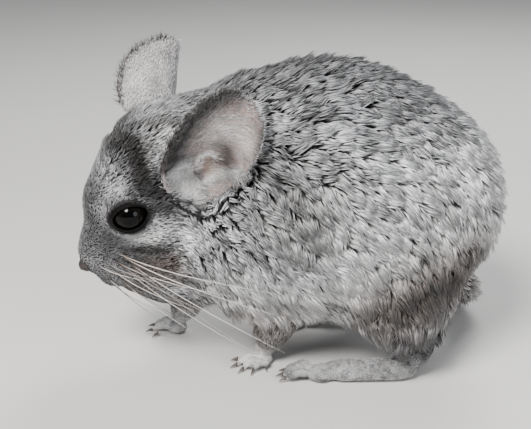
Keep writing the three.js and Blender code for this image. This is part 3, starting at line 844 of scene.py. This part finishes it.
# %% Grow the coat
COAT_COUNT = 121000
LARGEST_PIECE = 19500
NOSE_FROM, MOUTH_WIDTH, SOLE_TO = 46.2, 0.9, 0.0012
BACK_FROM, FLANK_FROM, FRONT_TO = 96, 52, 8
here = to_head(body.points)
ring, _ = eye_ring(here)
bare = (ring < 1.06) | (here[:, 0] > NOSE_FROM)
bare |= (from_line(folded(here), MOUTH) < MOUTH_WIDTH) & (here[:, 0] > 20)
bare |= body.points[:, 2] < SOLE_TO
width_map = (0.3 + 0.72 * smoothstep(0.8, 9.5, length / MM)) * MM
finer = (1.0 / np.maximum(width_map / MM, 0.3)) ** 1.45
density = np.where(bare, 0.0, finer)
count = COAT_COUNT
mixed, places = grown_on(skin, density, count)
roots, normals = mixed(body.points), unit(mixed(body.normals))
lies = wandering(flattened(mixed(lie), normals), normals, 0.3)
lengths = mixed(length) * rng.uniform(0.75, 1.2, count)
widths = mixed(width_map) * rng.uniform(0.7, 1.3, count)
lifts = [mixed(root_lift) * rng.uniform(0.8, 1.15, count)]
lifts.append(mixed(tip_lift) * rng.uniform(0.4, 1.5, count))
# On the muzzle the tufts differ less in tone, and the face is less speckled than the back
tones = rng.random(count)
tones += (0.5 - tones) * mixed(on_head * (0.2 + 0.35 * to_nose))
# The tufts wear the same markings and painted shade as the skin
marks = markings_and_shade(roots)
face_share = mixed(on_head)
leg_share = mixed(on_limbs)
root_x, root_y, root_z = (roots / MM).T
level = np.where(root_z > BACK_FROM, "back", np.where(root_z > FLANK_FROM, "flank", "belly"))
end = np.where(root_x < FRONT_TO, "front", "rear")
hand = np.where(root_y < MIDPLANE / MM, "left", "right")
regions = np.array([f"{a}_{b}_{c}" for a, b, c in zip(level, end, hand)])
regions = np.where(face_share > 0.5, "head", regions)
regions = np.where(leg_share > 0.5, "legs", regions)
for region in sorted(set(regions)):
    members = np.flatnonzero(regions == region)
    parts = math.ceil(len(members) / LARGEST_PIECE)
    short = region in ("head", "legs")
    for number, chosen in enumerate(np.array_split(members, parts)):
        piece = tuft_mesh(
            f"coat_{region}" + (f"_{number + 1}" if parts > 1 else ""),
            *(values[chosen] for values in (roots, normals, lies, lengths, widths)),
            [angles[chosen] for angles in lifts],
            *(values[chosen] for values in (tones, marks, places)),
            clumping=0.35 if short else 0.72,
        )
        dressed(piece, face_coat if short else coat, "coat")
        print(piece.name, len(piece.data.polygons))
dressed(skin, skin_material, "coat", *FLESH)

# %% [markdown]
# ## Ears
#
# An ear is a thin leaf bent into a cup. The solid ear gives its place and outline; a copy is wrapped in
# fine voxels and averaged, so that its rim is round. A frame of the ear's own (along to the tip, across
# to the back edge, out of the hollow) places the colours: a dark front and top rim, rolled over the cup,
# and a dark deep hollow, both painted shade; a flesh-coloured cup with a pale fold; fine combed hairs and
# a pale tuft at the root.

# %% Ears
EARS = {
    "left": {"base": (-4, 25.5, 2.5), "tip": (0.43, -0.29, 0.855), "face": (-0.2, -0.96, -0.2)},
    "right": {"base": (-13, -15, 14), "tip": (0.13, 0.25, 0.95), "face": (-0.91, 0.38, -0.05)},
}
EAR_LENGTH, EAR_HALF_WIDTH = {"left": 0.93 * 64, "right": 0.74 * 64}, 19.0
EAR_HAIRS = {"left": 12000, "right": 8000}
# Strokes on a chart of the ear: its first axis runs from the root to the tip, the second to the back edge
CHART_LENGTH = 60
EAR_MARKS_AND_SHADE = [
    # The first three dark strokes are painted shade: in the front and the top rim, rolled over the cup,
    # and in the deep hollow
    ("dark", 0.9, 4.4, [[15, -14, 0], [22, -16, 0], [38, -15, 0], [50, -8, 0], [56, -1, 0]]),
    ("dark", 0.8, 3.2, [[57, 5, 0], [50, 12, 0], [38, 16, 0]]),
    ("dark", 0.85, 5.2, [[29, 3.5, 0], [24, 6, 0]]),
    ("dark", 0.9, 1.7, [[10.5, -3.2, 0], [13, -3.4, 0]]),
    ("warm", 0.9, 3.6, [[19, -0.8, 0], [17, 2, 0]]),
    ("pale", 1.0, 1.2, [[8.5, 1.7, 0], [15.3, -4.9, 0], [21, -4.3, 0], [24, -2, 0], [23.6, 1.2, 0]]),
    ("pale", 1.0, 1.9, [[8.5, 1.7, 0], [17, 4.6, 0], [27, 12.8, 0]]),
    ("pale", 1.0, 5.0, [[1, -2, 0], [5, -6, 0], [10, -9, 0]]),
    ("pale", 0.55, 7.0, [[37, 6.4, 0], [33, -4, 0]]),
]
ROLL, HOLLOW, FOLD, EDGE, ROOT_TUFT = 0, 2, 5, 6, 7


def ear_frame(side):
    """The ear's root and its three ways: along, to the back edge, out of the hollow."""
    ear = EARS[side]
    along = Vector(ear["tip"]).normalized()
    front = Vector(ear["face"])
    front = (front - along * front.dot(along)).normalized()
    back = front.cross(along)
    if back.x < 0:
        back.negate()
    return from_head([ear["base"]])[0], np.array([along, back, front])


graph = Graph("ear_leather")
veins = graph.noise(260, 5.0, 0.6)
fine = graph.noise(1500, 3.0)
leather = graph.mix(veins, (0.17, 0.112, 0.102), (0.36, 0.27, 0.25))
colour = marked(graph, leather)
height = graph.math("ADD", graph.math("MULTIPLY", veins, 0.6), graph.math("MULTIPLY", fine, 0.4))
graph.bump(height, 0.0006, 0.7)
graph.finish(Subsurface_Weight=0.12, Subsurface_Scale=0.002)
ear_leather = graph.finish(Base_Color=colour, Roughness=0.58)

for side in EARS:
    ear = copied(f"ear_{side}_skin", [f"ear_{side}"])
    modified(ear, "REMESH", mode="VOXEL", voxel_size=EAR_VOXEL, use_smooth_shade=True)
    leaf = Surface(ear)
    leaf.move(leaf.average(leaf.points, 8))
    base, axes = ear_frame(side)
    local = (leaf.points - base) @ axes.T / MM
    reach = EAR_LENGTH[side]
    up = np.clip((local[:, 0] + 6) / reach, 0, 1)
    over = local[:, 1] / EAR_HALF_WIDTH
    facing = leaf.normals @ axes[2]
    inside = smoothstep(0.0, 0.35, facing)
    flat = np.stack([local[:, 0] / reach * CHART_LENGTH, local[:, 1], np.zeros(leaf.count)], 1)
    strokes = [share * inside * stroke(flat, line, width) for _, share, width, line in EAR_MARKS_AND_SHADE]
    ridges = np.sin(local[:, 0] * 1.1 + 1.5 * np.abs(over)) * smoothstep(0.15, 0.4, up) * inside
    raised = 0.15 * ridges + 1.4 * strokes[ROLL] + 1.5 * strokes[FOLD]
    raised = raised + 1.1 * strokes[EDGE] - 0.9 * strokes[HOLLOW]
    leaf.move(leaf.points + leaf.normals * (raised * MM)[:, None])
    back_edge = smoothstep(0.4, 0.8, over) * smoothstep(0.95, 0.7, up)
    ear_marks_and_shade = np.zeros((leaf.count, 4))
    ear_marks_and_shade[:, 0] = (1 - inside) * (0.55 + 0.3 * back_edge)
    ear_marks_and_shade[:, 2] = 0.12
    for (kind, *_), share in zip(EAR_MARKS_AND_SHADE, strokes):
        add_mark(ear_marks_and_shade, kind, share)
    ear_marks_and_shade[:, 3] = 1
    write_attribute(ear, "marks", ear_marks_and_shade)
    unwrapped(ear)
    dressed(ear, ear_leather, "ear_skin", f"ear_{side}")
    # Short fur on the back, and fine pale hairs over the hollow, denser at its edges and its root
    outside = 1 - inside
    combed = axes[1] + axes[0] * (0.5 - 0.9 * over)[:, None]
    along_edge = axes[0] + axes[1] * (0.35 * over)[:, None]
    covered = (outside + inside * (strokes[ROLL] + strokes[ROOT_TUFT]).clip(0, 1))[:, None]
    way = flattened(along_edge * covered + combed * (1 - covered), leaf.normals)
    sparse = 0.42 + 0.7 * strokes[ROLL] + 2.2 * strokes[ROOT_TUFT]
    sparse = sparse + 1.2 * strokes[EDGE] - 0.35 * strokes[HOLLOW]
    count = EAR_HAIRS[side]
    mixed, places = grown_on(ear, outside * 0.9 + inside * sparse, count)
    within, normals = mixed(inside), unit(mixed(leaf.normals))
    # The hairs wear the ear's marks, so the painted shade of the rim and the hollow darkens them too
    hairs = tuft_mesh(
        f"ear_{side}_hairs",
        mixed(leaf.points),
        normals,
        wandering(flattened(mixed(way), normals), normals, 0.25),
        (2.6 + 1.6 * within + 3.0 * mixed(strokes[ROOT_TUFT])) * MM * rng.uniform(0.7, 1.25, count),
        (0.36 - 0.14 * within) * MM * rng.uniform(0.7, 1.3, count),
        [np.radians(rng.uniform(8, 20, count)), np.radians(rng.uniform(0, 8, count))],
        rng.uniform(0.3 + 0.1 * (1 - within), 0.9, count),
        np.clip(mixed(ear_marks_and_shade) * [1, 0.9, 0.5, 1] + within[:, None] * [0.22, 0, 0, 0], 0, 1),
        places,
        clumping=0.15,
    )
    dressed(hairs, face_coat, "coat")
    print(ear.name, len(ear.data.polygons))

# %% [markdown]
# ## Eyes and lids
#
# A chinchilla's eye is a large globe, smooth and nearly black, and its highlights are the lamps mirrored
# in it. A lid, a soft roll of dark skin round an almond opening, holds the globe.

# %% Eyes and lids
BULGE = 0.35
graph = Graph("wet_eye")
iris, rim = (0.003, 0.0025, 0.002), (0.0025, 0.002, 0.0015)
colour = graph.ramp(graph.attribute("iris"), (0.0, iris), (0.84, rim), (0.9, 0.0005), (1.0, 0.0005))
wet_eye = graph.finish(Base_Color=colour, Roughness=0.05, Specular_IOR_Level=0.13)

black, look = ((0.002,) * 3, (0.008, 0.007, 0.007)), {"Roughness": 0.6, "Specular_IOR_Level": 0.04}
lid_skin = grainy("lid_skin", (1400, 3.0), *black, (0.0003, 0.6), **look)


def seated(points, side):
    """Takes points from the eye's frame to the body's, mirrored for the right side."""
    local = points @ EYE_TURN.T + EYE_AT
    local[:, 1] *= 1 if side == "left" else -1
    return from_head(local)


sphere = bpy.ops.mesh.primitive_uv_sphere_add
for side in ("left", "right"):
    eye = started(f"eye_{side}_globe", sphere, segments=48, ring_count=32, radius=EYE_RADIUS)
    globe = points_of(eye)
    facing = globe[:, 1] / EYE_RADIUS
    globe[:, 1] += BULGE * smoothstep(0.75, 1.0, facing)
    write_attribute(eye, "iris", facing)
    set_points(eye, seated(globe, side))
    finished(eye, wet_eye, "eye", f"eye_{side}")

    sizes = {"major_segments": 72, "minor_segments": 14, "major_radius": 1, "minor_radius": 0.1}
    lid = started(f"lid_{side}", bpy.ops.mesh.primitive_torus_add, **sizes)
    roll = points_of(lid)
    angle = np.arctan2(roll[:, 1], roll[:, 0])
    out = (np.hypot(roll[:, 0], roll[:, 1]) - 1) * 10 * LID_ROLL
    run, rise = np.cos(angle) * (LID_LENGTH / 2 + out), np.sin(angle) * (LID_HEIGHT / 2 + out)
    run += 0.8 * np.sign(run) * smoothstep(0.86, 1.0, np.abs(np.cos(angle)))
    fall = EYE_RADIUS - np.sqrt(np.maximum(0, EYE_RADIUS**2 - 0.8 * run**2 - 0.8 * rise**2))
    proud = EYE_RADIUS + BULGE - fall + roll[:, 2] * 9 * LID_ROLL
    set_points(lid, seated(np.stack([run, proud, rise], 1), side))
    finished(lid, lid_skin, "coat")
print("eyes set")

# %% [markdown]
# ## Nose
#
# The nose's tip is a small bare pad, dull and slightly moist, with two comma-shaped nostrils and a cleft
# under it. It starts as a sphere, and points near the nostrils and the cleft are pushed in.

# %% Nose
nose = started("nose", sphere, segments=48, ring_count=32, radius=1)
pad = points_of(nose) * [2.9, 3.7, 2.8] + [46.9, 0, -4]
dent = 1.3 * stroke(folded(pad), [[50, 1.5, -5.4], [48.4, 3.1, -3.8]], 0.75)
dent += 0.6 * stroke(folded(pad), [[50.5, 0, -4.5], [48.5, 0, -8]], 0.5)
pad -= (pad - [45, 0, -4]) * (dent / 4.0)[:, None]
set_points(nose, from_head(pad))
brown = (0.014, 0.01, 0.009), (0.04, 0.028, 0.025)
finished(nose, grainy("nose_skin", (2600, 2.0), *brown, (0.0002, 0.8), Roughness=0.5), "coat")

# %% [markdown]
# ## Whiskers
#
# Whiskers grow in rows from the swollen pads beside the nose. They leave the pad sideways and then sweep
# back and down, the rear ones longest. Each is a thin tapered tube along a curve.

# %% Whiskers


def tubes(name, lines, radii, sides):
    """One mesh of round tubes along lines of equally many points, pinched shut at both ends."""
    steps = len(lines[0])
    last = (steps - 1) * sides
    each = steps * sides + 2
    corner = np.arange(sides)
    after = (corner + 1) % sides
    angles = corner[:, None] * 2 * math.pi / sides
    starts = range(0, last, sides)
    walls = [[i + corner, i + after, i + after + sides] for i in starts]
    walls += [[i + corner, i + after + sides, i + corner + sides] for i in starts]
    front, back = np.full(sides, each - 2), np.full(sides, each - 1)
    ends = [[front, after, corner], [back, last + corner, last + after]]
    faces = np.array(walls + ends).transpose(0, 2, 1).reshape(-1, 3)
    points = []
    for line, radius in zip(lines, radii):
        ways = unit(np.gradient(line, axis=0))
        helper = [0, 0, 1] if abs(ways[:, 2]).mean() < 0.9 else [1, 0, 0]
        across = unit(np.cross(ways, helper))
        upward = np.cross(across, ways)
        spokes = across[:, None] * np.cos(angles) + upward[:, None] * np.sin(angles)
        points += [*(line[:, None] + radius[:, None, None] * spokes).reshape(-1, 3), line[0], line[-1]]
    thing = mesh_from(name, points, np.concatenate([faces + i * each for i in range(len(lines))]))
    index = np.arange(each)
    u = np.where(index < each - 2, index % sides / sides, 0.5)
    v = np.where(index < each - 2, index // sides / (steps - 1), index == each - 1)
    write_places(thing, np.tile(np.stack([u, v], 1), (len(lines), 1)))
    return thing


WHISKER_ROWS, WHISKERS_IN_ROW = 6, 4
WHISKER_STEPS, WHISKER_SIDES = 14, 5
skin_finder = tree_of(body.points)
share = np.linspace(0, 1, WHISKER_STEPS)[:, None]
lines, radii, tones = [], [], []
for hand in (1, -1):
    for row in range(WHISKER_ROWS):
        for place in range(WHISKERS_IN_ROW):
            at = [41.5 - 3.4 * place, hand * (7.5 + 1.2 * place), -16 + 2.3 * row + 0.5 * place]
            root = body.points[skin_finder.find(from_head(at))[1]]
            size = (22 + 15 * place + rng.uniform(-5, 8)) * MM
            out = np.array([0.2 - 0.25 * place / 3, hand * 0.8, -0.45 + 0.1 * (row - 2)])
            rearwards = -0.26 - 0.05 * row + rng.uniform(-0.1, 0.1)
            sweep = np.array([rearwards, hand * 0.47, -0.8 + 0.07 * row])
            leave, bend = unit(out) @ HEAD_AXES.T, unit(sweep) @ HEAD_AXES.T
            curve = leave * (share - 0.5 * share**2) * 0.4 + bend * (0.35 * share + 0.5 * share**2)
            line = root + size * curve
            line[:, 2] = np.maximum(line[:, 2], 0.002)
            lines.append(line)
            radii.append((0.18 + 0.06 * place / 3) * MM * (1 - 0.86 * share[:, 0]))
            tones.append((row + 2 * place) * 0.35 % 1)
whiskers = tubes("whiskers", lines, radii, WHISKER_SIDES)
along = np.append(np.repeat(share, WHISKER_SIDES), [0, 1])
write_attribute(whiskers, "along", np.tile(along, len(lines)))
write_attribute(whiskers, "tone", np.repeat(tones, len(along)))
graph = Graph("whisker")
along = graph.attribute("along")
pale = graph.ramp(along, (0.0, (0.2, 0.14, 0.11)), (0.3, (0.75, 0.68, 0.62)), (1.0, 0.9))
dark = graph.ramp(along, (0.0, 0.012), (0.7, (0.07, 0.05, 0.04)), (1.0, 0.3))
colour = graph.mix(graph.ramp(graph.attribute("tone"), (0.42, 0.0), (0.5, 1.0)), dark, pale)
dressed(whiskers, graph.finish(Base_Color=colour, Roughness=0.35), "coat")
print("whiskers:", len(lines))

# %% [markdown]
# ## Claws
#
# Each toe ends in a short blunt claw. One claw is modelled as a bent cone and copied to every toe, turned
# along it. The toes' ends follow from the same few sizes that shape the paws in the solid model.

# %% Claws
FORE = {"length": 8.4, "radius": 1.8, "palm": 6.5}
FORE["toes"] = [(38, 0.86), (13, 1), (-12, 1), (-40, 0.86), (74, 0.42)]
HIND = {"length": 11, "radius": 2.2, "palm": 8.5, "toes": [(16, 0.94), (0, 1), (-15, 0.94), (34, 0.62)]}
# Each paw's place on the floor, its heading in degrees, its kind and the side its toes are counted from
PAWS = [
    ((-18, -14.5), 215, FORE, 1),
    ((-59, 17), 176, FORE, -1),
    ((7, -28.5), 180, HIND, -1),
    ((7, 28.5), 180, HIND, 1),
]
CLAW_LENGTH = 3.6
cone = {"vertices": 12, "radius1": 0.95, "radius2": 0.12, "depth": CLAW_LENGTH, "end_fill_type": "NGON"}
pattern = started("claw_pattern", bpy.ops.mesh.primitive_cone_add, **cone)
in_edit_mode(pattern, lambda: bpy.ops.mesh.subdivide(number_cuts=3))
face_outwards(pattern)
horn = points_of(pattern)
horn[:, 2] += CLAW_LENGTH / 2
horn[:, 0] += 0.07 * horn[:, 2] ** 2
horn[:, 1] *= 0.75
claws = []
for at, heading, paw, hand in PAWS:
    for angle, share in paw["toes"]:
        way = math.radians(heading + angle * hand)
        start = paw["palm"] * 0.5 + paw["length"] * share - 0.6
        tip = Vector((*at, paw["radius"] * 0.95)) + Vector((math.cos(way), math.sin(way), 0)) * start
        place = Matrix.Translation((tip + CENTRE_SHIFT) * MM) @ Matrix.Rotation(way, 4, "Z")
        place = place @ Matrix.Rotation(math.radians(96), 4, "Y") @ Matrix.Scale(MM, 4)
        claw = bpy.data.objects.new("claw", pattern.data.copy())
        scene.collection.objects.link(claw)
        set_points(claw, horn)
        claw.data.transform(place)
        claws.append(claw)
bpy.data.objects.remove(pattern)
only(*claws)
bpy.ops.object.join()
claws = bpy.context.object
claws.name = "claws"
set_points(claws, np.maximum(points_of(claws), [-9, -9, 0.0001]))
bpy.ops.object.shade_smooth()
horny, look = ((0.03, 0.023, 0.02), (0.12, 0.095, 0.08)), {"Roughness": 0.3, "Coat_Weight": 0.3}
dressed(claws, grainy("claw_horn", (1200, 3.0), *horny, (0.0001, 0.5), **look), "paw")
print("claws:", len(claws.data.polygons), "faces")

# %% [markdown]
# ## Tail
#
# The tail lies on the floor along the animal's right side. Its bristles are coarse, dark and far longer
# than the fur of the body. They grow all round a slim core and lie towards the tip.

# %% Tail
TAIL_ROUTE = [[66, 6, 40], [76, 16, 28], [82, 32, 17], [77, 50, 12]]
TAIL_ROUTE += [[60, 62, 12], [36, 67, 12], [8, 69, 10.2], [-16, 69, 5.4]]
TAIL_RADIUS = 12
TAIL_PROFILE = [0.6, 0.62, 0.7, 0.85, 0.95, 0.95, 0.8, 0.2]
TAIL_CORE = 0.46
CORE_RINGS, CORE_SIDES = 60, 20
BRISTLE_COUNT = 7500


def through(route, shares):
    """Points on a smooth curve through a route."""
    route = np.asarray(route, float)
    padded = np.vstack([2 * route[0] - route[1], route, 2 * route[-1] - route[-2]])
    spans = np.minimum((shares * (len(route) - 1)).astype(int), len(route) - 2)
    t = (shares * (len(route) - 1) - spans)[:, None]
    a, b, c, d = (padded[spans + i] for i in range(4))
    bent, twisted = 2 * a - 5 * b + 4 * c - d, 3 * b - a - 3 * c + d
    return 0.5 * (2 * b + (c - a) * t + bent * t**2 + twisted * t**3)


shares = np.linspace(0, 1, CORE_RINGS)
centres = (through(TAIL_ROUTE, shares) + np.array(CENTRE_SHIFT)) * MM
full = np.interp(shares, np.linspace(0, 1, len(TAIL_PROFILE)), TAIL_PROFILE) * TAIL_RADIUS * MM
core = tubes("tail_core", [centres], [full * TAIL_CORE], CORE_SIDES)
face_outwards(core)
write_attribute(core, "marks", np.tile([0, 0.9, 0.1, 1], (len(core.data.vertices), 1)))
dressed(core, skin_material, "tail_coat", "tail_root", "tail_middle", "tail_tip")

count = BRISTLE_COUNT
share = np.sqrt(rng.random(count)) * 0.5 + rng.random(count) * 0.5
share = np.clip(share, 0.02, 0.985)
angle = rng.random(count) * 2 * math.pi
ways = unit(np.gradient(centres, axis=0))
centre, way = (
    np.stack([np.interp(share, shares, column) for column in values.T], 1) for values in (centres, ways)
)
way = unit(way)
radius = np.interp(share, shares, full)
across = unit(np.cross(way, [0, 0, 1]))
upward = np.cross(across, way)
normal = across * np.cos(angle)[:, None] + upward * np.sin(angle)[:, None]
towards_tip = smoothstep(0.1, 0.6, share)
pale = 0.35 * (1 - towards_tip) + 0.25 * np.abs(np.cos(angle)) * rng.random(count)
dark = 0.25 * towards_tip * rng.random(count)
tail_marks = np.stack([pale, dark, np.full(count, 0.15), np.ones(count)], 1)
bristle_length = (9 + 12 * towards_tip) * MM
shorter_at_tip = 1 - 0.25 * smoothstep(0.85, 1, share)
bristles = tuft_mesh(
    "tail_bristles",
    centre + normal * (radius * TAIL_CORE)[:, None],
    normal,
    wandering(way, normal, 0.16),
    bristle_length * rng.uniform(0.75, 1.25, count) * shorter_at_tip,
    0.75 * MM * rng.uniform(0.7, 1.4, count),
    [np.radians(rng.uniform(30, 46, count)), np.radians(rng.uniform(8, 26, count))],
    rng.random(count),
    tail_marks,
    np.stack([angle / (2 * math.pi), share], 1),
    clumping=0.4,
)
dressed(bristles, tail_coat, "tail_coat")
print("tail:", len(bristles.data.polygons), "triangles")
